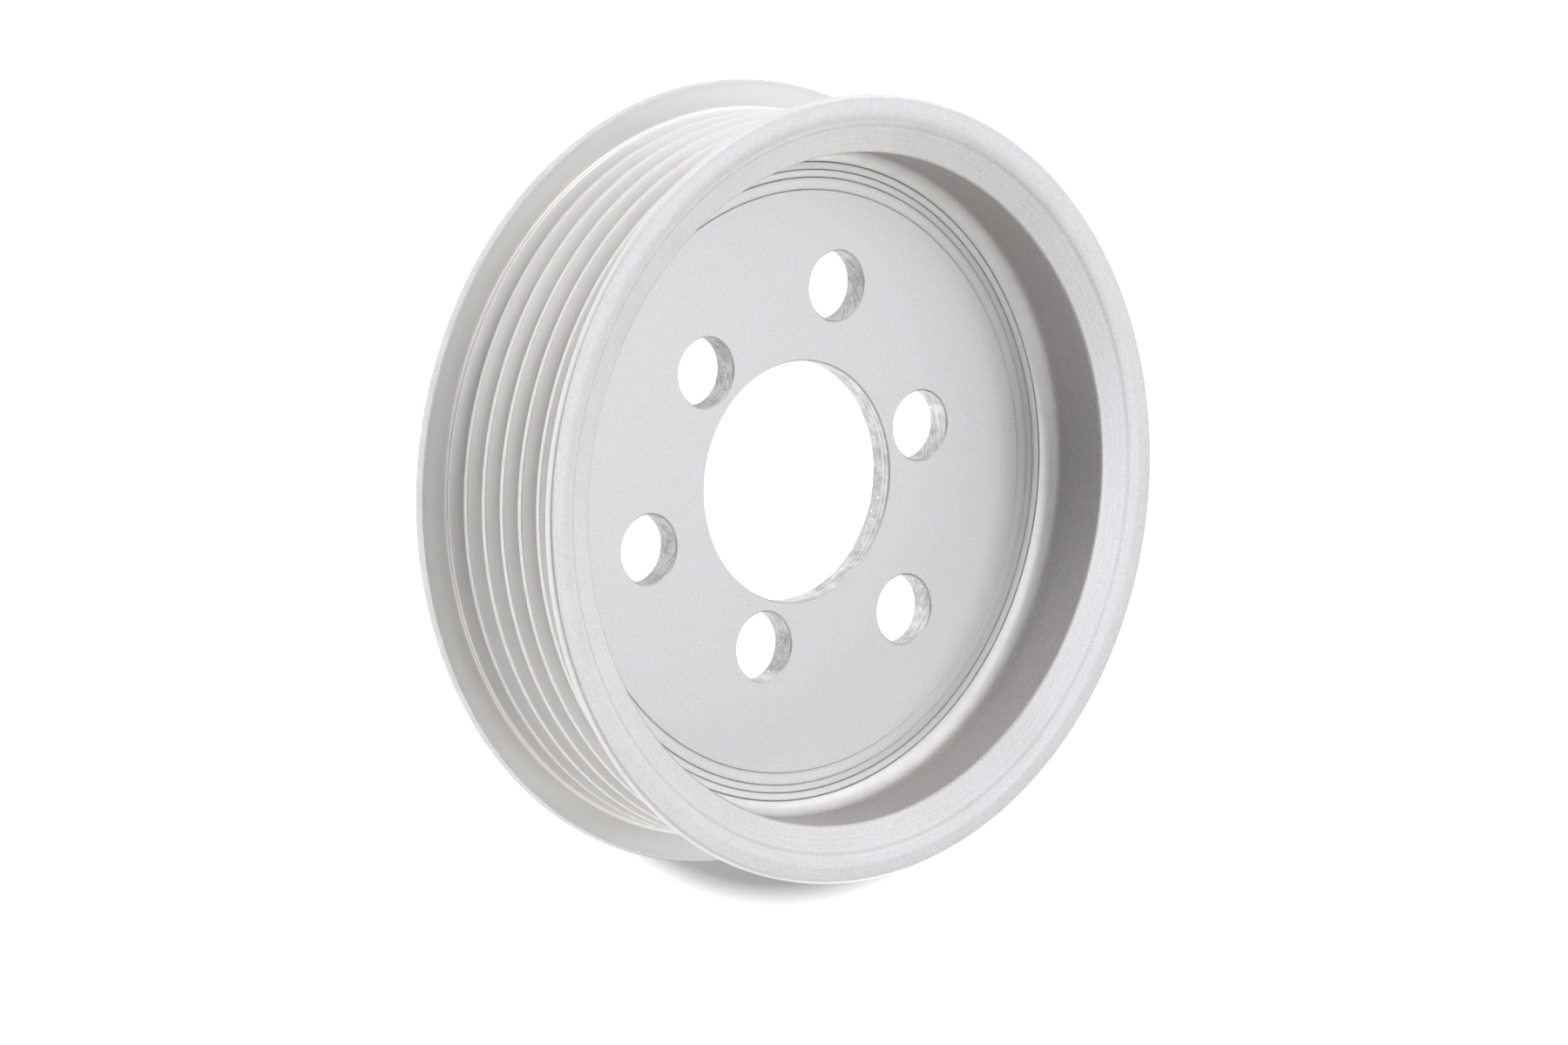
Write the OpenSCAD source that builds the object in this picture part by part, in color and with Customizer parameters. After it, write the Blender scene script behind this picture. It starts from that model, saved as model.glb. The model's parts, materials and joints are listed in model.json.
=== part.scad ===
// Water pump pulley for a six-rib belt, turned as one solid ring with a thin web.
// Units are millimetres. The bore axis is Z and the rear rim face lies on Z = 0.

/* [Rim] */
// Diameter over both flanges
rim_d = 100; // [90:1:160]
// Height of the flanges above the rib crests
flange_h = 3.5; // [2:0.1:6]
// Thickness of the front flange at its rim
front_rim_t = 1.2; // [0.8:0.1:4]
// Thickness of the rear flange at its rim
rear_rim_t = 1.6; // [0.8:0.1:4]
// Amount by which each flange is thicker at its foot than at its rim
flank_taper = 0.25; // [0.1:0.05:1]
// Rounding of the outer corners of both flanges
lip_round = 0.5; // [0.1:0.05:0.6]
// Rounding of the flange corners that face the belt
heel_round = 0.2; // [0.05:0.05:0.3]
// Fillet where a flange meets the belt track
foot_fillet = 0.25; // [0.1:0.05:0.4]

/* [Belt track] */
// Number of V grooves
groove_count = 6; // [3:1:12]
// Distance from one groove to the next
groove_pitch = 3.56; // [3.2:0.02:5]
// Angle between the two walls of a groove
groove_angle = 40; // [34:1:44]
// Width of a rib crest before its corners are rounded
crest_w = 0.75; // [0.6:0.05:1.2]
// Rounding of the crest corners
crest_round = 0.25; // [0.1:0.05:0.3]
// Radius of the groove bottoms
root_round = 0.6; // [0.3:0.05:0.8]
// Plain land between the last groove and the front flange
front_land = 2.2; // [0.8:0.1:6]
// Plain land between the first groove and the rear flange
rear_land = 0.65; // [0.6:0.05:4]
// Width of the fine relief line at the foot of each flange
relief_w = 0.16; // [0.05:0.01:0.2]

/* [End faces] */
// Metal left between the groove bottoms and the cup wall
shell_t = 1.15; // [0.8:0.05:5]
// Distance from the rim in to the raised ridge of each end face
ridge_inset = 2.6; // [1.8:0.1:3.4]
// Rounding over the ridge
ridge_round = 4; // [1:0.5:5]
// Depth of the cup's edge below the ridge
dish_depth = 1.6; // [0.4:0.1:2.4]
// Fall of the front face from its ridge to its rim
lip_fall = 0.1; // [0.02:0.02:0.3]
// Rounding of the cup's edge
mouth_round = 0.35; // [0.1:0.05:0.6]
// Distance from the crest line in to the fine seam line on the front face
seam_inset = 0.3; // [0.1:0.1:1.5]
// Width of the seam line
seam_w = 0.2; // [0.1:0.05:0.4]

/* [Web] */
// Thickness of the web
web_t = 3.3; // [2:0.1:6]
// Distance from the hub seat forward to the middle of the belt track
hub_offset = 0.8; // [-3:0.1:5]
// Fillet between the web and the cup wall
web_fillet = 2.9; // [0.5:0.1:4]
// Gap from the cup wall in to each fine ring line on the front of the web
ring_gaps = [2.0, 2.95, 3.95, 5.5]; // [1:0.05:7]
// Width of the ring lines
ring_line_w = 0.25; // [0.1:0.05:0.5]

/* [Hub holes] */
// Diameter of the centre bore
bore_d = 30.7; // [10:0.1:32]
// Diameter of every bolt hole
bolt_d = 8.9; // [5:0.1:10]
// Number of bolt holes on each of the two bolt circles
bolt_count = 3; // [2:1:4]
// Metal between the bore and each hole of the larger bolt circle
large_circle_gap = 5.55; // [3:0.05:8]
// Metal between the bore and each hole of the smaller bolt circle
small_circle_gap = 1.55; // [1:0.05:4]
// Direction of the first hole on the larger bolt circle, in degrees from X
first_hole_angle = 90; // [0:5:180]
// Chamfer on the edges of the bore and the bolt holes
edge_break = 0.2; // [0.05:0.05:0.4]

/* [Hidden] */

$fn = 180;
// Largest turn and largest distance between neighbouring points of a rounded corner
arc_turn = 18;
arc_chord = 0.35;
// Length by which a cutting shape runs past the metal
past = 1;

rim_r = rim_d / 2;
crest_r = rim_r - flange_h;
groove_w = groove_pitch - crest_w;
wall_angle = groove_angle / 2;
// Where the walls of a groove would meet, were its bottom not round
groove_v = groove_w / 2 / tan(wall_angle);
groove_depth = groove_v - root_round * (1 / sin(wall_angle) - 1);
cup_r = crest_r - groove_depth - shell_t;
ridge_r = rim_r - ridge_inset;
bore_r = bore_d / 2;
large_circle_r = bore_r + large_circle_gap + bolt_d / 2;
small_circle_r = bore_r + small_circle_gap + bolt_d / 2;

// Heights above the rear rim face
rear_foot_z = rear_rim_t + flank_taper;
track_start_z = rear_foot_z + rear_land;
track_w = groove_count * groove_pitch - crest_w;
track_mid_z = track_start_z + track_w / 2;
front_foot_z = track_start_z + track_w + front_land;
front_heel_z = front_foot_z + flank_taper;
front_lip_z = front_heel_z + front_rim_t;
front_ridge_z = front_lip_z + lip_fall;
hub_seat_z = track_mid_z - hub_offset;
web_front_z = hub_seat_z + web_t;

function unit(v) = v / norm(v);

// Points of the arc that rounds corner p, between neighbours a and b
function corner(a, p, b, r) =
    let (
        u = unit(a - p),
        v = unit(b - p),
        half = acos(u * v) / 2,
        turn = 180 - 2 * half,
        centre = p + unit(u + v) * r / sin(half),
        from = p + u * r / tan(half) - centre,
        side = sign(u[0] * v[1] - u[1] * v[0]),
        steps = ceil(max(turn / arc_turn, turn * r * PI / 180 / arc_chord))
    )
    [for (i = [0:steps])
        let (t = -side * turn * i / steps)
        centre + [from[0] * cos(t) - from[1] * sin(t), from[0] * sin(t) + from[1] * cos(t)]];

// A closed outline of [radius, height, rounding] points, with its corners rounded
function rounded(path) =
    let (n = len(path), at = function(i) [path[i][0], path[i][1]])
    [for (i = [0:n - 1])
        each path[i][2] > 0
            ? corner(at((i + n - 1) % n), at(i), at((i + 1) % n), path[i][2])
            : [at(i)]];

// Height of the front of the web, which curves up to the cup wall at its fillet
function web_front_at(r) =
    let (into = max(0, r - (cup_r - web_fillet)))
    web_front_z + web_fillet - sqrt(web_fillet * web_fillet - into * into);

// Height of the dished zone on the front face
function front_face_at(r) =
    front_ridge_z - dish_depth * (ridge_r - r) / (ridge_r - cup_r);

// Half section of the ring and web before the grooves are cut
module blank_section() {
    polygon(rounded([
        [bore_r + edge_break, hub_seat_z, 0],
        [cup_r, hub_seat_z, web_fillet],
        [cup_r, dish_depth, mouth_round],
        [ridge_r, 0, ridge_round],
        [rim_r, 0, lip_round],
        [rim_r, rear_rim_t, heel_round],
        [crest_r, rear_foot_z, foot_fillet],
        [crest_r, front_foot_z, foot_fillet],
        [rim_r, front_heel_z, heel_round],
        [rim_r, front_lip_z, lip_round],
        [ridge_r, front_ridge_z, ridge_round],
        [cup_r, front_ridge_z - dish_depth, mouth_round],
        [cup_r, web_front_z, web_fillet],
        [bore_r + edge_break, web_front_z, 0],
        [bore_r, web_front_z - edge_break, 0],
        [bore_r, hub_seat_z + edge_break, 0]
    ]));
}

// Shape that cuts one groove, with its round bottom and the round corners of its crests
module groove_section() {
    edge = groove_w / 2 + crest_round;
    polygon(rounded([
        [past, -edge, 0],
        [0, -edge, 0],
        [0, -groove_w / 2, crest_round],
        [-groove_v, 0, root_round],
        [0, groove_w / 2, crest_round],
        [0, edge, 0],
        [past, edge, 0]
    ]));
}

// Shape that cuts a fine line of width w
module line_section(w) {
    rotate(45)
        square(w / sqrt(2), center = true);
}

module section() {
    difference() {
        blank_section();
        for (i = [0:groove_count - 1])
            translate([crest_r, track_start_z + groove_w / 2 + i * groove_pitch])
                groove_section();
        for (z = [rear_foot_z + foot_fillet, front_foot_z - foot_fillet])
            translate([crest_r, z])
                line_section(relief_w);
        for (gap = ring_gaps)
            translate([cup_r - gap, web_front_at(cup_r - gap)])
                line_section(ring_line_w);
        translate([crest_r - seam_inset, front_face_at(crest_r - seam_inset)])
            line_section(seam_w);
    }
}

// One bolt hole through the web, with both of its edges broken
module bolt_hole() {
    mouth_d = bolt_d + 2 * edge_break;
    translate([0, 0, hub_seat_z - past])
        cylinder(h = web_t + 2 * past, d = bolt_d);
    translate([0, 0, hub_seat_z])
        cylinder(h = edge_break, d1 = mouth_d, d2 = bolt_d);
    translate([0, 0, web_front_z - edge_break])
        cylinder(h = edge_break, d1 = bolt_d, d2 = mouth_d);
}

// Evenly spaced bolt holes on a circle of radius r
module bolt_circle(r, first_angle) {
    for (i = [0:bolt_count - 1])
        rotate(first_angle + i * 360 / bolt_count)
            translate([r, 0, 0])
                bolt_hole();
}

module pulley() {
    color([0.80, 0.81, 0.83])
        difference() {
            rotate_extrude()
                section();
            bolt_circle(large_circle_r, first_hole_angle);
            bolt_circle(small_circle_r, first_hole_angle + 180 / bolt_count);
        }
}

pulley();
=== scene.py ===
import json
import math

import bmesh
import bpy
from mathutils import Matrix, Vector


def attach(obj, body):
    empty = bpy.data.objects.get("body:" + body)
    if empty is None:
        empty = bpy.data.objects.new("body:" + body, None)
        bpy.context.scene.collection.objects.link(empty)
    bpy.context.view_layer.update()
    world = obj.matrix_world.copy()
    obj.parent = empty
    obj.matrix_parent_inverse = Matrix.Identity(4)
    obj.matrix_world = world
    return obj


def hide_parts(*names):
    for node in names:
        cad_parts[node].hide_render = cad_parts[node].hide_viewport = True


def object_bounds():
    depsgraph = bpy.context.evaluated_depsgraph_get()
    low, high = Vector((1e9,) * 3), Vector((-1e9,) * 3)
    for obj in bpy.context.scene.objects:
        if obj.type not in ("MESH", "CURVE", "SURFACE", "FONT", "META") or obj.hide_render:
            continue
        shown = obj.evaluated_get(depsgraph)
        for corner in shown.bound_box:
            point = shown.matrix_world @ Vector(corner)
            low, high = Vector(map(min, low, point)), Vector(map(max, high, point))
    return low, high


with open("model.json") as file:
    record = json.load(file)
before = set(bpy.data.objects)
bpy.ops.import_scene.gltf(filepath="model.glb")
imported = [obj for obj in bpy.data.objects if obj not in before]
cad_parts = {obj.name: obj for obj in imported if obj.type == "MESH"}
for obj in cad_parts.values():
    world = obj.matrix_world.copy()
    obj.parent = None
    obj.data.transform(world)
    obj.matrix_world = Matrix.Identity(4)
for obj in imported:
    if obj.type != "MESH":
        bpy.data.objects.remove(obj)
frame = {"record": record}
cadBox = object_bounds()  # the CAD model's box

mm = 0.001
weldDist = 0.001 * mm  # points closer than this become one
cutDist = weldDist / 10  # a point this close to a cut lies on it
mounts = {mount["name"]: mount for mount in frame["record"]["mounts"]}
metal = frame["record"]["materials"][0]
print("frame loaded, box", [round(side / mm, 2) for side in cadBox[1] - cadBox[0]])


def addObject(name, data):
    thing = bpy.data.objects.new(name, data)
    bpy.context.scene.collection.objects.link(thing)
    return thing


photoView = {
    "lens": 320.0,  # mm, on a sensor 36 mm wide
    "distance": 1756.13,  # mm, from the camera to the front rim's plane
    "azimuth": 40.521,  # degrees that the bore axis points to the right of the camera
    "elevation": 7.512,  # degrees that the camera looks down
    "faceTurn": 15.0,  # degrees that the bolt holes are turned about the bore
    "aimHeight": 26.2,  # mm up the bore axis
    "aimRight": 8.797,  # mm right of the middle of the picture
    "aimUp": 4.088,  # mm above the middle of the picture
}

# turns a direction of the picture (right, up, towards the camera) into one of the frame
pictureTurn = (
    Matrix.Rotation(math.radians(photoView["faceTurn"]), 3, "Z")
    @ Matrix.Rotation(math.radians(-photoView["azimuth"]), 3, "Y")
    @ Matrix.Rotation(math.radians(-photoView["elevation"]), 3, "X")
)


def makeCamera():
    data = bpy.data.cameras.new("photoCamera")
    data.lens = photoView["lens"]
    camera = addObject("photoCamera", data)
    aim = Vector((0, 0, photoView["aimHeight"])) * mm
    offset = Vector((-photoView["aimRight"], -photoView["aimUp"], photoView["distance"]))
    place = aim + pictureTurn @ offset * mm
    camera.matrix_world = Matrix.Translation(place) @ pictureTurn.to_4x4()
    bpy.context.scene.camera = camera


makeCamera()
print("camera set")


pulley = {
    "steps": 240,  # divisions round the bore axis
    "rimR": min(abs(side) for corner in cadBox for side in corner.xy) / mm,
    # sizes in mm, as the CAD model has them
    "crestR": 46.5,
    "cupR": 42.644,
    "ridgeR": 47.4,
    "webR": 34.0,  # where the turned ring ends and the drilled web starts
    "webFrontZ": 15.305,
    "webRearZ": 12.005,
    "rearRimZ": 1.6,
    "rearFootZ": 1.85,
    "frontFootZ": 25.31,
    "frontHeelZ": 25.56,
    "frontLipZ": 26.76,
    "frontRidgeZ": 26.86,
    "dishDepth": 1.6,
    "grooves": 6,
    "pitch": 3.56,
    "firstGrooveZ": 3.905,
    "grooveW": 2.81,
    "rootR": 43.794,  # the round groove bottom is drawn as two corners
    "rootHalfW": 0.42,
    "webFillet": 2.9,
    "mouthRound": 0.35,
    "ridgeRound": 4.0,
    "lipRound": 0.5,
    "heelRound": 0.2,
    "footFillet": 0.25,
    "crestRound": 0.25,
    "rootRound": 0.599,
    "edgeBreak": 0.2,
    "ringLines": (37.144, 38.694, 39.694, 40.644),
    "ringLineW": 0.25,
    "seamR": 46.2,
    "seamW": 0.24,
    "seamDepth": 0.03,
    "reliefW": 0.16,
    "landTolerance": 0.01,  # an edge this close to crestR lies on a land
    "firstHoles": {"large_bolt_circle": 90, "small_bolt_circle": 150},  # degrees
    "holeSteps": 64,
    "boreSteps": 160,
    "sharpAngle": 28,  # degrees, edges that turn more than this stay sharp
}
webMiddleZ = (pulley["webFrontZ"] + pulley["webRearZ"]) / 2


def reliefHeights():
    # mm, the middle of the fine line at the foot of the rear and the front flange
    p = pulley
    inset = p["footFillet"] + p["reliefW"] / 2
    return p["rearFootZ"] + inset, p["frontFootZ"] - inset


def roundCorner(bm, vert, radius, segments):
    # the bevel slides along both edges, to where an arc of this radius would touch them
    a, b = (edge.other_vert(vert).co - vert.co for edge in vert.link_edges)
    slide = radius / math.tan(a.angle(b) / 2)
    bmesh.ops.bevel(
        bm, geom=[vert], offset=slide, offset_type="OFFSET", segments=segments,
        profile=0.5, affect="VERTICES", material=-1, clamp_overlap=False,
    )


def sectionCorners():
    # radius and height of each corner, the radius that rounds it, and the steps of that arc
    p = pulley
    corners = [
        (p["webR"], p["webFrontZ"], 0, 0),
        (p["cupR"], p["webFrontZ"], p["webFillet"], 10),
        (p["cupR"], p["frontRidgeZ"] - p["dishDepth"], p["mouthRound"], 5),
        (p["ridgeR"], p["frontRidgeZ"], p["ridgeRound"], 6),
        (p["rimR"], p["frontLipZ"], p["lipRound"], 6),
        (p["rimR"], p["frontHeelZ"], p["heelRound"], 4),
        (p["crestR"], p["frontFootZ"], p["footFillet"], 4),
    ]
    for i in reversed(range(p["grooves"])):
        z = p["firstGrooveZ"] + i * p["pitch"]
        corners += [
            (p["crestR"], z + p["grooveW"] / 2, p["crestRound"], 4),
            (p["rootR"], z + p["rootHalfW"], p["rootRound"], 5),
            (p["rootR"], z - p["rootHalfW"], p["rootRound"], 5),
            (p["crestR"], z - p["grooveW"] / 2, p["crestRound"], 4),
        ]
    corners += [
        (p["crestR"], p["rearFootZ"], p["footFillet"], 4),
        (p["rimR"], p["rearRimZ"], p["heelRound"], 4),
        (p["rimR"], 0, p["lipRound"], 6),
        (p["ridgeR"], 0, p["ridgeRound"], 6),
        (p["cupR"], p["dishDepth"], p["mouthRound"], 5),
        (p["cupR"], p["webRearZ"], p["webFillet"], 10),
        (p["webR"], p["webRearZ"], 0, 0),
    ]
    return corners


def scribeLine(bm, at, across, width, depth, isNear):
    # a fine V line: three cuts across the section, the middle one pushed into the metal
    into = Vector((-across[2], 0, -across[0]))
    for shift in (-width / 2, width / 2, 0):
        edges = [e for e in bm.edges if isNear((e.verts[0].co + e.verts[1].co) / 2)]
        verts = list({v for e in edges for v in e.verts})
        plane = (at + Vector(across) * shift) * mm
        cut = bmesh.ops.bisect_plane(
            bm, geom=verts + edges, plane_co=plane, plane_no=across, dist=cutDist)
    deepest = [v for v in cut["geom_cut"] if isinstance(v, bmesh.types.BMVert)]
    bmesh.ops.translate(bm, verts=deepest, vec=into * depth * mm)


def drawSection(bm):
    p = pulley
    corners = sectionCorners()
    verts = [bm.verts.new((r * mm, 0, z * mm)) for r, z, _, _ in corners]
    for a, b in zip(verts, verts[1:]):
        bm.edges.new((a, b))
    for vert, (_, _, radius, segments) in zip(verts, corners):
        if radius:
            roundCorner(bm, vert, radius * mm, segments)
    filletTopZ = p["webFrontZ"] + p["webFillet"]
    for r in p["ringLines"]:
        scribeLine(bm, Vector((r, 0, 0)), (1, 0, 0), p["ringLineW"], p["ringLineW"] / 2,
                   lambda c: webMiddleZ * mm < c.z < filletTopZ * mm)
    scribeLine(bm, Vector((p["seamR"], 0, 0)), (1, 0, 0), p["seamW"], p["seamDepth"],
               lambda c: c.z > p["frontHeelZ"] * mm)
    for z in reliefHeights():
        scribeLine(bm, Vector((0, 0, z)), (0, 0, 1), p["reliefW"], p["reliefW"] / 2,
                   lambda c: abs(c.x / mm - p["crestR"]) < p["landTolerance"])


def spinSection(bm):
    bmesh.ops.spin(
        bm, geom=bm.verts[:] + bm.edges[:], cent=(0, 0, 0), axis=(0, 0, 1), dvec=(0, 0, 0),
        angle=math.tau, steps=pulley["steps"], use_merge=True, use_duplicate=False,
    )


def ringOf(bm, centre, radius, z, steps):
    made = bmesh.ops.create_circle(
        bm, cap_ends=False, radius=radius * mm, segments=steps,
        matrix=Matrix.Translation(Vector((centre[0], centre[1], z)) * mm),
    )
    return list({e for v in made["verts"] for e in v.link_edges})


def drillHole(bm, centre, radius, steps):
    # returns the front and rear mouth, joined by a wall with a chamfer at each end
    p = pulley
    levels = [
        (radius + p["edgeBreak"], p["webFrontZ"]),
        (radius, p["webFrontZ"] - p["edgeBreak"]),
        (radius, p["webRearZ"] + p["edgeBreak"]),
        (radius + p["edgeBreak"], p["webRearZ"]),
    ]
    rings = [ringOf(bm, centre, r, z, steps) for r, z in levels]
    for i, (upper, lower) in enumerate(zip(rings, rings[1:])):
        wall = bmesh.ops.bridge_loops(bm, edges=upper + lower)
        if i == 1:  # the straight wall, between the two chamfers
            for face in wall["faces"]:
                face.material_index = 1
    return rings[0], rings[-1]


def holeCentres():
    centres = []
    for name, firstAngle in pulley["firstHoles"].items():
        dims = mounts[name]["dims"]
        reach = dims["pcd_mm"] / 2
        for i in range(dims["count"]):
            angle = math.radians(firstAngle + i * 360 / dims["count"])
            centres.append((reach * math.cos(angle), reach * math.sin(angle)))
    return centres


def openRing(bm, z):
    # the loop of open edges that the turned ring leaves at this height
    return [e for e in bm.edges if len(e.link_faces) == 1
            and all(abs(v.co.z - z * mm) < weldDist for v in e.verts)]


def makePulley():
    p = pulley
    bm = bmesh.new()
    drawSection(bm)
    spinSection(bm)
    bmesh.ops.remove_doubles(bm, verts=bm.verts[:], dist=weldDist)
    front = openRing(bm, p["webFrontZ"])
    rear = openRing(bm, p["webRearZ"])
    boreR = mounts["hub_bore"]["dims"]["r_mm"]
    holeR = mounts["large_bolt_circle"]["dims"]["hole_r_mm"]
    mouths = [drillHole(bm, (0, 0), boreR, p["boreSteps"])]
    mouths += [drillHole(bm, centre, holeR, p["holeSteps"]) for centre in holeCentres()]
    for outer, side in ((front, 0), (rear, 1)):
        edges = outer + [e for mouth in mouths for e in mouth[side]]
        bmesh.ops.triangle_fill(bm, use_beauty=True, use_dissolve=False, edges=edges)
    bmesh.ops.remove_doubles(bm, verts=bm.verts[:], dist=weldDist)
    bmesh.ops.recalc_face_normals(bm, faces=bm.faces[:])
    for face in bm.faces:
        face.smooth = True
    for edge in bm.edges:
        if edge.calc_face_angle(0) > math.radians(p["sharpAngle"]):
            edge.smooth = False
    mesh = bpy.data.meshes.new("turnedPulley")
    bm.to_mesh(mesh)
    print("pulley:", len(bm.verts), "points,", len(bm.faces), "faces,",
          sum(1 for e in bm.edges if len(e.link_faces) != 2), "open edges,",
          round(bm.calc_volume() / mm ** 3, 1), "mm3")
    bm.free()
    piece = addObject("turnedPulley", mesh)
    weighted = piece.modifiers.new("evenShading", "WEIGHTED_NORMAL")
    weighted.keep_sharp = True
    return piece


turnedPulley = makePulley()
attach(turnedPulley, "root")
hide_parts("pulley")


def put(tree, kind, settings=None, values=None):
    node = tree.nodes.new(kind)
    for name, value in (settings or {}).items():
        setattr(node, name, value)
    for name, value in (values or {}).items():
        node.inputs[name].default_value = value
    return node


def calc(tree, operation, *terms):
    # a Math node whose terms are numbers or other nodes' sockets
    node = put(tree, "ShaderNodeMath", {"operation": operation})
    for i, term in enumerate(terms):
        if isinstance(term, (int, float)):
            node.inputs[i].default_value = term
        else:
            tree.links.new(term, node.inputs[i])
    return node.outputs[0]


def joined(tree, operation, first, *others):
    # one value from any number of them, such as their product or the greatest
    for other in others:
        first = calc(tree, operation, first, other)
    return first


def between(tree, value, low, high, toLow=0.0, toHigh=1.0, ease="LINEAR"):
    # goes from toLow to toHigh as the value goes from low to high, and no further
    span = put(tree, "ShaderNodeMapRange", {"interpolation_type": ease}, {
        "From Min": low, "From Max": high, "To Min": toLow, "To Max": toHigh})
    tree.links.new(value, span.inputs["Value"])
    return span.outputs[0]


def ramp(tree, length, ends, toLow=0.0, toHigh=1.0):
    # the same for a length in metres, with the two ends in mm
    return between(tree, length, ends[0] * mm, ends[1] * mm, toLow, toHigh)


def nearTo(tree, length, middle, reach):
    # 1 near the middle of a band, and 0 where its reach ends, both in mm
    away = calc(tree, "ABSOLUTE", calc(tree, "SUBTRACT", length, middle * mm))
    return ramp(tree, away, (reach, reach / 3))


def tint(tree, below, colour, amount):
    # lays a colour over another, or over what a socket gives
    mix = put(tree, "ShaderNodeMix", {"data_type": "RGBA"})
    lower, upper = [socket for socket in mix.inputs if socket.type == "RGBA"]
    if isinstance(below, tuple):
        lower.default_value = below
    else:
        tree.links.new(below, lower)
    upper.default_value = colour
    tree.links.new(amount, mix.inputs[0])
    return next(socket for socket in mix.outputs if socket.type == "RGBA")


def radiusOf(tree):
    # distance from the bore axis, height and place, from Object coordinates
    coords = tree.nodes.new("ShaderNodeTexCoord")
    parts = tree.nodes.new("ShaderNodeSeparateXYZ")
    tree.links.new(coords.outputs["Object"], parts.inputs[0])
    x, y, height = parts.outputs
    square = calc(tree, "ADD", calc(tree, "MULTIPLY", x, x), calc(tree, "MULTIPLY", y, y))
    return calc(tree, "SQRT", square), height, coords.outputs["Object"]


marks = {
    "grain": {"Detail": 3.0, "Roughness": 0.6},
    "mottle": {"Detail": 4.0, "Roughness": 0.6},
    "speck": {"Detail": 1.0, "Roughness": 0.6},
    "speckPeaks": (0.67, 0.73),  # only the peaks of that noise are specks
    "rings": {"Scale": 1.0, "Detail": 3.0, "Roughness": 0.7},
    "bandNoise": {"Scale": 400.0, "Detail": 4.0, "Roughness": 0.65},
    "bandSpread": (0.35, 0.6),  # the noise where a band is weakest, and where it is full
    "bandLeast": 0.6,
    "bandEdge": (1.0, 0.4),  # where a band fades out and where it is full, in its reach
}


def addSocket(group, label, side):
    return group.interface.new_socket(
        name=label, in_out=side, socket_type="NodeSocketFloat")


def newGroup(name, inputs, outputs):
    group = bpy.data.node_groups.new(name, "ShaderNodeTree")
    for label, value in inputs.items():
        addSocket(group, label, "INPUT").default_value = value
    for label in outputs:
        addSocket(group, label, "OUTPUT")
    return group, group.nodes.new("NodeGroupInput"), group.nodes.new("NodeGroupOutput")


def makeGrainGroup():
    # a fine satin grain, a soft mottle much larger than it, and a few small specks
    group, given, result = newGroup(
        "satinGrain", {"Grain Scale": 5000.0, "Mottle Scale": 90.0, "Speck Scale": 900.0},
        ["Grain", "Mottle", "Specks"])
    coords = group.nodes.new("ShaderNodeTexCoord")
    found = {}
    for label in ("Grain", "Mottle", "Speck"):
        noise = put(group, "ShaderNodeTexNoise", values=marks[label.lower()])
        group.links.new(coords.outputs["Object"], noise.inputs["Vector"])
        group.links.new(given.outputs[label + " Scale"], noise.inputs["Scale"])
        found[label] = noise.outputs[0]
    group.links.new(found["Grain"], result.inputs["Grain"])
    group.links.new(found["Mottle"], result.inputs["Mottle"])
    specks = between(group, found["Speck"], *marks["speckPeaks"])
    group.links.new(specks, result.inputs["Specks"])
    return group


def makeTurningGroup():
    # rings left by the turning tool round the bore axis
    group, given, result = newGroup("turningMarks", {"Spacing": 0.0004}, ["Rings"])
    radius, height, _ = radiusOf(group)
    along = calc(group, "DIVIDE", calc(group, "ADD", radius, height), given.outputs["Spacing"])
    noise = put(group, "ShaderNodeTexNoise", {"noise_dimensions": "1D"}, marks["rings"])
    group.links.new(along, noise.inputs["W"])
    group.links.new(noise.outputs[0], result.inputs["Rings"])
    return group


def makeBandGroup():
    # 1 on a band round the bore axis, at Radius and Reach wide each way, uneven along it
    group, given, result = newGroup("ringBand", {"Radius": 0.05, "Reach": 0.0002}, ["Band"])
    radius, _, place = radiusOf(group)
    away = calc(group, "ABSOLUTE", calc(group, "SUBTRACT", radius, given.outputs["Radius"]))
    away = calc(group, "DIVIDE", away, given.outputs["Reach"])
    band = between(group, away, *marks["bandEdge"], ease="SMOOTHSTEP")
    noise = put(group, "ShaderNodeTexNoise", values=marks["bandNoise"])
    group.links.new(place, noise.inputs["Vector"])
    uneven = between(group, noise.outputs[0], *marks["bandSpread"], marks["bandLeast"], 1.0)
    group.links.new(calc(group, "MULTIPLY", band, uneven), result.inputs["Band"])
    return group


grainGroup = makeGrainGroup()
turningGroup = makeTurningGroup()
bandGroup = makeBandGroup()


def useGroup(tree, group, **values):
    return put(tree, "ShaderNodeGroup", {"node_tree": group}, values).outputs


def marksOf(tree, look):
    # grain, mottle, specks and rings at the sizes that a metal's dictionary gives
    sizes = {"Grain Scale": "grainSize", "Mottle Scale": "mottleSize", "Speck Scale": "speckSize"}
    scales = {label: 1 / (look[size] * mm) for label, size in sizes.items() if size in look}
    grain = useGroup(tree, grainGroup, **scales)
    rings = useGroup(tree, turningGroup, Spacing=look["ringSpacing"] * mm)
    return grain["Grain"], grain["Mottle"], grain["Specks"], rings["Rings"]


def bandAt(tree, radius, reach, amount):
    band = useGroup(tree, bandGroup, Radius=radius * mm, Reach=reach * mm)["Band"]
    return calc(tree, "MULTIPLY", band, amount)


def newMetal(name):
    material = bpy.data.materials.new(name)
    material.use_nodes = True
    shader = material.node_tree.nodes["Principled BSDF"]
    shader.inputs["Metallic"].default_value = 1.0
    return material, material.node_tree, shader


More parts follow.
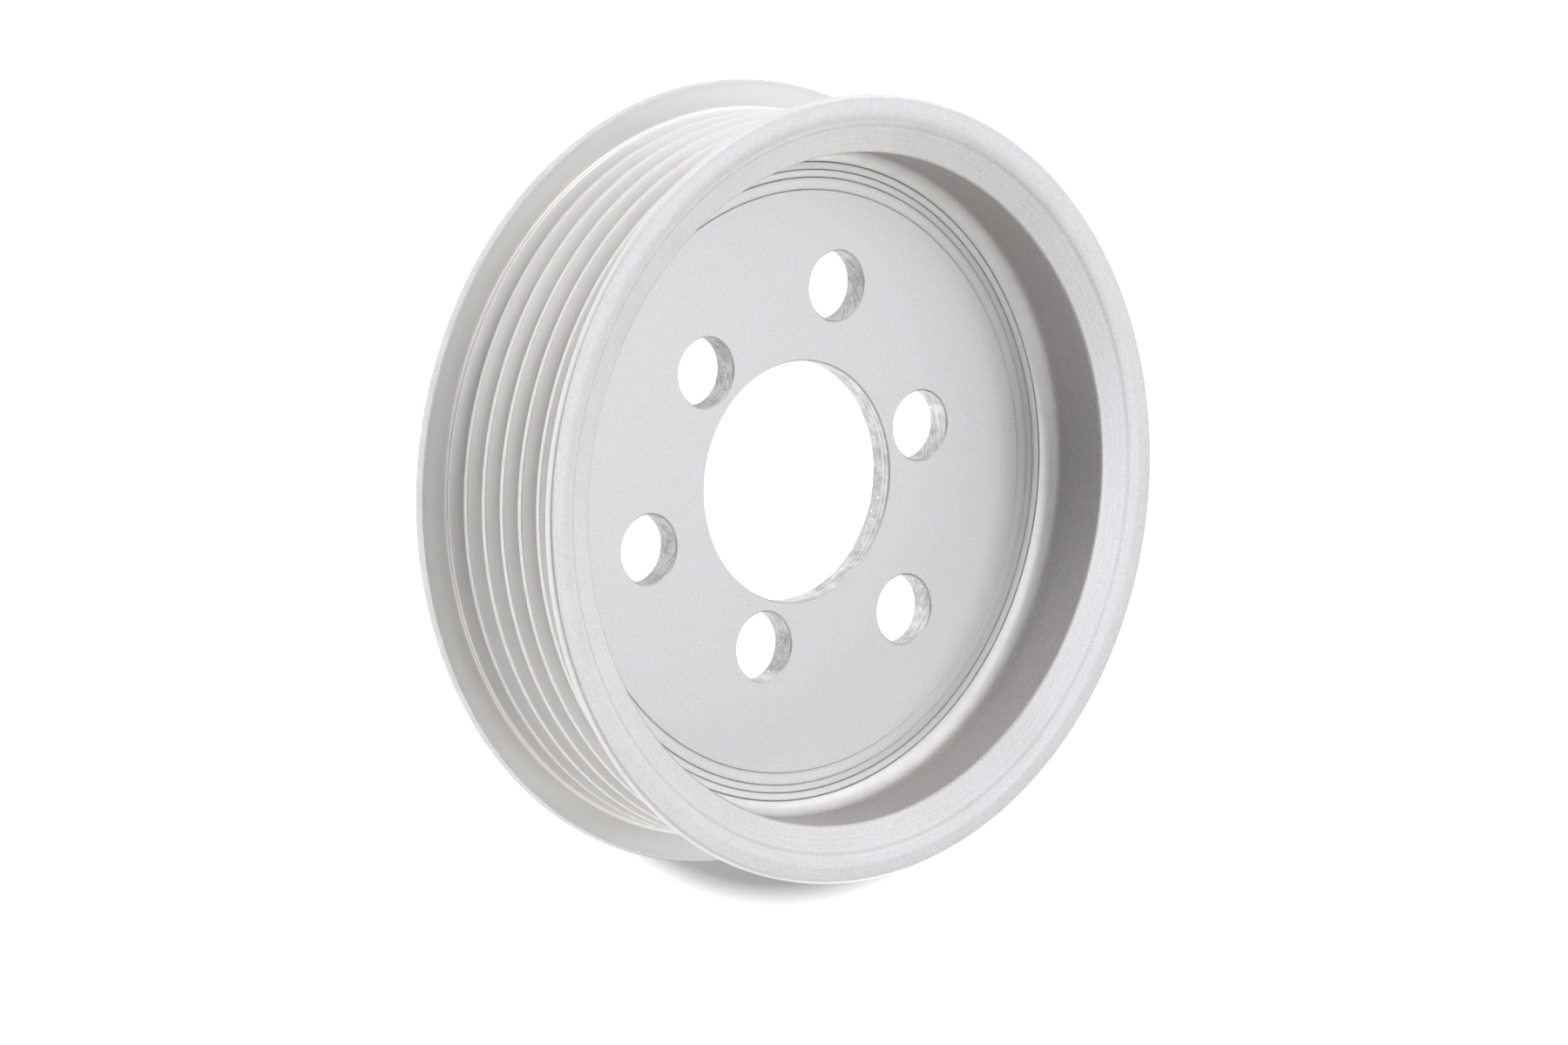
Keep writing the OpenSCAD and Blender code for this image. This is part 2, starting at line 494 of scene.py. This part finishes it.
def finishMetal(tree, shader, look, colour, rough, grain, rings):
    tree.links.new(colour, shader.inputs["Base Color"])
    tree.links.new(rough, shader.inputs["Roughness"])
    relief = calc(tree, "ADD", calc(tree, "MULTIPLY", grain, look["grainHeight"] * mm),
                  calc(tree, "MULTIPLY", rings, look["ringHeight"] * mm))
    bump = put(tree, "ShaderNodeBump", values={"Strength": 1.0, "Distance": 1.0})
    tree.links.new(relief, bump.inputs["Height"])
    tree.links.new(bump.outputs[0], shader.inputs["Normal"])


satinMetal = {
    # lengths in mm
    "colour": (*metal["base_color"], 1.0),
    "dull": (0.66, 0.66, 0.66, 1.0),  # the low spots of grain, mottle and turning marks
    "shineSpread": (0.3, 0.7),  # what counts as a low and as a high spot
    "grainShine": 0.9,  # how much each of them brightens
    "mottleShine": 0.25,
    "ringShine": 0.9,
    "leastShine": 0.10,
    "roughness": 0.50,
    "roughnessSpread": 0.10,
    "grainSize": 0.30,
    "mottleSize": 8.0,
    "ringSpacing": 0.42,
    "grainHeight": 0.007,
    "ringHeight": 0.0035,
    "turnedR": (40.8, 42.2),  # from here out the turned ring shows its tool marks
    "webMarks": 0.15,  # how much of them the web shows
    # the belt track between the flanges, painted brighter as a stand-in for light bounced between
    # them: where it starts and where it is full
    "trackR": (43.2, 43.5),
    "trackRearZ": (1.55, 1.7),
    "trackFrontZ": (25.6, 25.45),
    "trackPaintedLight": (0.87, 0.865, 0.855, 1.0),  # painted light on the grooves and flanks
    "trackBright": 0.80,
    "crestDull": 0.85,  # how much of that the crests lose
    "flankR": (46.6, 46.8),
    "flankPaintedLight": (0.90, 0.895, 0.885, 1.0),  # painted light on the flanks that face the belt
    "deepR": (46.3, 44.3),
    "deepShadeAndDustTone": (0.50, 0.49, 0.475, 1.0),  # painted shade and settled dust, far down in the grooves
    "deepShadeAndDustAmount": 0.44,
    "landZ": 2.6,  # below it lies the narrow land at the foot of the rear flange, which gets a painted highlight
    "landPaintedHighlight": (0.97, 0.965, 0.96, 1.0),
    # painted shade on the cup wall, from the fillet up to the mouth
    "wallFootR": (42.0, 42.45),
    "wallMouthR": (43.0, 42.75),
    "cupShadeTone": (0.52, 0.50, 0.48, 1.0),
    "cupSpread": (0.35, 0.65),  # low and high spots of the grain
    "cupCover": (1.0, 0.6),  # how far the tone hides the metal on them
    # painted shade in the ring lines, the seam and the relief lines
    "lineShadeTone": (0.26, 0.23, 0.21, 1.0),
    "lineAmounts": (0.22, 0.38, 0.38, 0.62),  # one for each ring line
    "lineReach": 0.15,
    "seamReach": 0.32,
    "seamAmount": 0.16,
    "reliefReach": 0.08,
    "reliefAmount": 0.6,
    "reliefR": (46.3, 46.4),
    # painted highlight strips between the ring lines: radius, reach and amount
    "highlightStrips": ((37.9, 0.5, 0.35), (39.2, 0.35, 0.4), (40.2, 0.35, 0.4), (41.6, 1.1, 0.9)),
    "stripRise": 2.0,  # above the web, how far up the painted highlight strips on the fillet and the shaded lines go
    "wearAndHighlightTone": (0.88, 0.88, 0.87, 1.0),  # the painted highlight strips, and the rubbed front rim, whose brightening is partly wear and partly a painted highlight
    "wornRoughness": 0.38,
    "wearReach": 0.16,
    "wearAndHighlightAmount": 0.3,
    "rearRimShadeTone": (0.50, 0.50, 0.50, 1.0),  # a painted dark reflection along the edge of the rear rim
    "rearRimShadeAmount": 0.5,
}


def paintTrackLightAndShade(tree, colour, radius, height):
    # painted brighter than the rest, apart from its crests, as a stand-in for light bounced
    # between the flanges; painted shade and settled dust make it darker far down in the grooves,
    # and a painted highlight lies on the rear land
    m = satinMetal
    crest = nearTo(tree, radius, pulley["crestR"], m["wearReach"])
    isTrack = joined(
        tree, "MULTIPLY", ramp(tree, radius, m["trackR"]), ramp(tree, height, m["trackRearZ"]),
        ramp(tree, height, m["trackFrontZ"]),
        calc(tree, "MULTIPLY_ADD", crest, -m["crestDull"], m["trackBright"]))
    # painted light on the belt track
    colour = tint(tree, colour, m["trackPaintedLight"], isTrack)
    # painted light on the flanks
    flankLight = calc(tree, "MULTIPLY", isTrack, ramp(tree, radius, m["flankR"]))
    colour = tint(tree, colour, m["flankPaintedLight"], flankLight)
    # painted shade and settled dust, darker with depth in the grooves
    depth = ramp(tree, radius, m["deepR"], 0.0, m["deepShadeAndDustAmount"])
    colour = tint(tree, colour, m["deepShadeAndDustTone"], calc(tree, "MULTIPLY", isTrack, depth))
    # a painted highlight on the narrow rear land
    landHighlight = calc(tree, "MULTIPLY", crest, calc(tree, "LESS_THAN", height, m["landZ"] * mm))
    return tint(tree, colour, m["landPaintedHighlight"], landHighlight)


def paintCupWallShade(tree, colour, radius, grain):
    # painted shade makes it duller and warmer, with the metal's grain showing through
    m = satinMetal
    cupWallShade = joined(
        tree, "MULTIPLY", ramp(tree, radius, m["wallFootR"]), ramp(tree, radius, m["wallMouthR"]),
        between(tree, grain, *m["cupSpread"], *m["cupCover"]))
    return tint(tree, colour, m["cupShadeTone"], cupWallShade)


def paintLineShadeAndHighlights(tree, colour, radius, height, isLip):
    # painted highlight strips on the front of the web, and painted shade in all the fine lines
    m = satinMetal
    p = pulley
    isFront = calc(
        tree, "MULTIPLY", calc(tree, "GREATER_THAN", height, webMiddleZ * mm),
        calc(tree, "LESS_THAN", height, (p["webFrontZ"] + m["stripRise"]) * mm))
    # painted highlight strips on the fillet
    highlightStrips = joined(tree, "MAXIMUM", *[bandAt(tree, *strip) for strip in m["highlightStrips"]])
    colour = tint(tree, colour, m["wearAndHighlightTone"], calc(tree, "MULTIPLY", highlightStrips, isFront))
    lines = joined(tree, "MAXIMUM", *[
        bandAt(tree, lineR, m["lineReach"], amount)
        for lineR, amount in zip(p["ringLines"], m["lineAmounts"])])
    seam = bandAt(tree, p["seamR"], m["seamReach"], m["seamAmount"])
    # painted shade in the ring lines and the seam
    lineShade = calc(tree, "MAXIMUM", calc(tree, "MULTIPLY", lines, isFront),
                  calc(tree, "MULTIPLY", seam, isLip))
    colour = tint(tree, colour, m["lineShadeTone"], lineShade)
    # painted shade in the relief lines at the flanges' feet
    reliefs = joined(tree, "MAXIMUM", *[
        nearTo(tree, height, z, m["reliefReach"]) for z in reliefHeights()])
    atFoot = ramp(tree, radius, m["reliefR"], 0.0, m["reliefAmount"])
    return tint(tree, colour, m["lineShadeTone"], calc(tree, "MULTIPLY", reliefs, atFoot))


def makeSatinMetal():
    m = satinMetal
    material, tree, shader = newMetal("satinMetal")
    radius, height, _ = radiusOf(tree)
    grain, mottle, _, rings = marksOf(tree, m)

    # low spots are duller
    isTurned = ramp(tree, radius, m["turnedR"], m["webMarks"])
    lift = calc(tree, "MULTIPLY", calc(tree, "SUBTRACT", rings, 0.5), isTurned)
    shine = joined(
        tree, "ADD", between(tree, grain, *m["shineSpread"], 0.0, m["grainShine"]),
        between(tree, mottle, *m["shineSpread"], 0.0, m["mottleShine"]),
        calc(tree, "MULTIPLY_ADD", lift, m["ringShine"], m["leastShine"]))
    colour = tint(tree, m["dull"], m["colour"], shine)

    colour = paintTrackLightAndShade(tree, colour, radius, height)
    colour = paintCupWallShade(tree, colour, radius, grain)
    isLip = calc(tree, "GREATER_THAN", height, pulley["frontHeelZ"] * mm)
    colour = paintLineShadeAndHighlights(tree, colour, radius, height, isLip)

    # rubbed smooth along the front rim, its brightening partly wear and partly a painted
    # highlight; a painted dark reflection along the rear one
    isRear = calc(tree, "LESS_THAN", height, webMiddleZ * mm)
    # a painted dark reflection along the rear rim
    edge = bandAt(tree, pulley["rimR"], m["wearReach"], m["rearRimShadeAmount"])
    colour = tint(tree, colour, m["rearRimShadeTone"], calc(tree, "MULTIPLY", edge, isRear))
    # front rim: wear and a painted highlight
    rimRubAndHighlight = bandAt(tree, pulley["rimR"], m["wearReach"], m["wearAndHighlightAmount"])
    rimWearAndHighlight = calc(tree, "MULTIPLY", rimRubAndHighlight, isLip)
    colour = tint(tree, colour, m["wearAndHighlightTone"], rimWearAndHighlight)
    rough = calc(tree, "MULTIPLY_ADD", calc(tree, "SUBTRACT", mottle, 0.5),
                 m["roughnessSpread"], m["roughness"])
    rough = calc(tree, "MULTIPLY_ADD", rimWearAndHighlight, m["wornRoughness"] - m["roughness"], rough)
    finishMetal(tree, shader, m, colour, rough, grain, lift)
    return material


boredMetal = {
    # lengths in mm
    "colour": (0.78, 0.78, 0.78, 1.0),
    "dull": (0.38, 0.38, 0.38, 1.0),
    "shineSpread": (0.75, 1.15),  # mottle and rings together, where dull and where bright
    "speckTone": (0.95, 0.95, 0.95, 1.0),
    "roughness": 0.36,
    "roughnessSpread": 0.25,
    "grainSize": 0.35,
    "mottleSize": 1.6,
    "speckSize": 0.7,
    "ringSpacing": 0.3,
    "grainHeight": 0.012,
    "ringHeight": 0.006,
}


def makeBoredMetal():
    m = boredMetal
    material, tree, shader = newMetal("boredMetal")
    grain, mottle, specks, rings = marksOf(tree, m)
    shine = between(tree, calc(tree, "ADD", mottle, rings), *m["shineSpread"])
    colour = tint(tree, m["dull"], m["colour"], shine)
    colour = tint(tree, colour, m["speckTone"], specks)
    rough = calc(tree, "MULTIPLY_ADD", mottle, m["roughnessSpread"], m["roughness"])
    finishMetal(tree, shader, m, colour, rough, grain, rings)
    return material


turnedPulley.data.materials.append(makeSatinMetal())
turnedPulley.data.materials.append(makeBoredMetal())
print("metals made")


studio = {
    "floorR": 4.8,  # m
    "floorSteps": 96,
    "backdropH": 1.1,  # m, the wall round the floor
    "floorColour": (0.95, 0.93, 0.91, 1.0),
    "floorGlow": 0.22,  # added to the lit floor where it is seen or mirrored
    "boreGlow": 1.0,  # the same within boreGlowR, which shows through the holes
    "boreGlowR": 49.0,  # mm
    "boreGlowToMetal": (0.24, 0.64),  # what metal mirrors of it, near the bore axis and far off
    "boreGlowReach": (12.0, 30.0),  # mm from the bore axis, where it is so strong
    "sky": 0.04,
    "lampDistance": 1.0,  # m
    "lampSize": 0.5,  # m
    "floorLampRound": 156.0,  # the floor's own lamp, which gives the shadow below the pulley
    "floorLampUp": 59.0,
    "floorLampSoft": 8.0,  # degrees
    "floorLamp": 3.17,  # W/m2
}

softboxes = {
    # degrees round the bore axis from the picture's right, degrees above the floor,
    # brightness and colour
    "overhead": (0, 90, 1.77, (0.995, 0.985, 1.015)),
    "rightHigh": (0, 60, 1.26, (0.995, 0.985, 1.015)),
    "upperLeftHigh": (135, 60, 1.92, (1.01, 1.0, 0.98)),
    "lowerRightHigh": (315, 60, 0.77, (1.0, 0.99, 0.99)),
    "rightMiddle": (0, 38, 0.68, (1.0, 1.0, 0.99)),
    "upperRightMiddle": (45, 38, 2.02, (1.0, 0.99, 1.0)),
    "topMiddle": (90, 38, 1.55, (1.01, 1.0, 0.97)),
    "upperLeftMiddle": (135, 38, 0.35, (1.01, 1.0, 0.98)),
    "lowerLeftMiddle": (225, 38, 1.03, (1.02, 1.0, 0.96)),
    "bottomMiddle": (270, 38, 1.10, (1.03, 1.0, 0.94)),
    "rightLow": (0, 16, 0.60, (1.03, 1.0, 0.95)),
    "upperRightLow": (45, 16, 0.58, (1.01, 1.0, 0.97)),
    "topLow": (90, 16, 0.89, (1.03, 1.0, 0.95)),
    "lowerRightLow": (315, 16, 2.08, (1.02, 1.0, 0.95)),
}


def awayFromPulley(around, up):
    around = math.radians(around + photoView["faceTurn"])
    up = math.radians(up)
    return Vector((math.cos(around) * math.cos(up), math.sin(around) * math.cos(up), math.sin(up)))


def seenOrMirrored(tree):
    # 1 for a camera ray, and 1 for a ray that metal or glass sends on
    rays = tree.nodes.new("ShaderNodeLightPath").outputs
    sentOn = calc(tree, "MAXIMUM", rays["Is Glossy Ray"], rays["Is Transmission Ray"])
    return rays["Is Camera Ray"], sentOn


def litAndGlowing(name, strengthOf):
    # a pale diffuse surface with a glow of its own, whose strength strengthOf(tree) gives
    material = bpy.data.materials.new(name)
    material.use_nodes = True
    tree = material.node_tree
    tree.nodes.clear()
    diffuse = put(tree, "ShaderNodeBsdfDiffuse", values={"Color": studio["floorColour"]})
    glow = tree.nodes.new("ShaderNodeEmission")
    tree.links.new(strengthOf(tree), glow.inputs["Strength"])
    both = tree.nodes.new("ShaderNodeAddShader")
    tree.links.new(diffuse.outputs[0], both.inputs[0])
    tree.links.new(glow.outputs[0], both.inputs[1])
    out = tree.nodes.new("ShaderNodeOutputMaterial")
    tree.links.new(both.outputs[0], out.inputs["Surface"])
    return material


def floorStrength(tree):
    s = studio
    seen, sentOn = seenOrMirrored(tree)
    radius, _, _ = radiusOf(tree)
    isInside = calc(tree, "LESS_THAN", radius, s["boreGlowR"] * mm)
    toMetal = ramp(tree, radius, s["boreGlowReach"], *s["boreGlowToMetal"])
    toMetal = calc(tree, "MULTIPLY_ADD", isInside,
                   calc(tree, "SUBTRACT", toMetal, s["floorGlow"]), s["floorGlow"])
    toEye = calc(tree, "MULTIPLY_ADD", isInside, s["boreGlow"] - s["floorGlow"], s["floorGlow"])
    return calc(tree, "ADD", calc(tree, "MULTIPLY", seen, toEye),
                calc(tree, "MULTIPLY", sentOn, toMetal))


def backdropStrength(tree):
    return calc(tree, "MAXIMUM", *seenOrMirrored(tree))


def addStagePiece(bm, name, strengthOf):
    mesh = bpy.data.meshes.new(name)
    bm.to_mesh(mesh)
    mesh.materials.append(litAndGlowing(name, strengthOf))
    return addObject(name, mesh)


def makeStage():
    s = studio
    bm = bmesh.new()
    bmesh.ops.create_circle(bm, cap_ends=True, radius=s["floorR"], segments=s["floorSteps"])
    for face in bm.faces:
        if face.normal.z < 0:
            face.normal_flip()
    floor = addStagePiece(bm, "paleFloor", floorStrength)
    bmesh.ops.delete(bm, geom=bm.faces[:], context="FACES_ONLY")
    raised = bmesh.ops.extrude_edge_only(bm, edges=bm.edges[:])["geom"]
    upper = [v for v in raised if isinstance(v, bmesh.types.BMVert)]
    bmesh.ops.translate(bm, verts=upper, vec=(0, 0, s["backdropH"]))
    backdrop = addStagePiece(bm, "backdrop", backdropStrength)
    bm.free()
    return floor


def makeSky():
    world = bpy.data.worlds.new("studioSky")
    bpy.context.scene.world = world
    world.use_nodes = True
    sky = world.node_tree.nodes["Background"].inputs
    sky["Color"].default_value = (1, 1, 1, 1)
    sky["Strength"].default_value = studio["sky"]


def aimLamp(name, data, around, up, lit):
    lamp = addObject(name, data)
    away = awayFromPulley(around, up)
    lamp.matrix_world = (Matrix.Translation(away * studio["lampDistance"])
                         @ away.to_track_quat("Z", "Y").to_matrix().to_4x4())
    lamp.visible_camera = False
    receivers = bpy.data.collections.new(name + "Lights")
    receivers.objects.link(lit)
    lamp.light_linking.receiver_collection = receivers


def makeLamps(floor):
    # soft boxes that light only the pulley, and a soft sun that lights only the floor
    for name, (around, up, brightness, colour) in softboxes.items():
        data = bpy.data.lights.new(name, "AREA")
        data.size = studio["lampSize"]
        data.color = colour
        data.energy = brightness * math.pi * studio["lampSize"] ** 2
        aimLamp(name, data, around, up, turnedPulley)
    data = bpy.data.lights.new("floorLamp", "SUN")
    data.angle = math.radians(studio["floorLampSoft"])
    data.energy = studio["floorLamp"]
    aimLamp("floorLamp", data, studio["floorLampRound"], studio["floorLampUp"], floor)


makeLamps(makeStage())
makeSky()
bpy.context.scene.view_settings.view_transform = "Standard"
print("studio set")
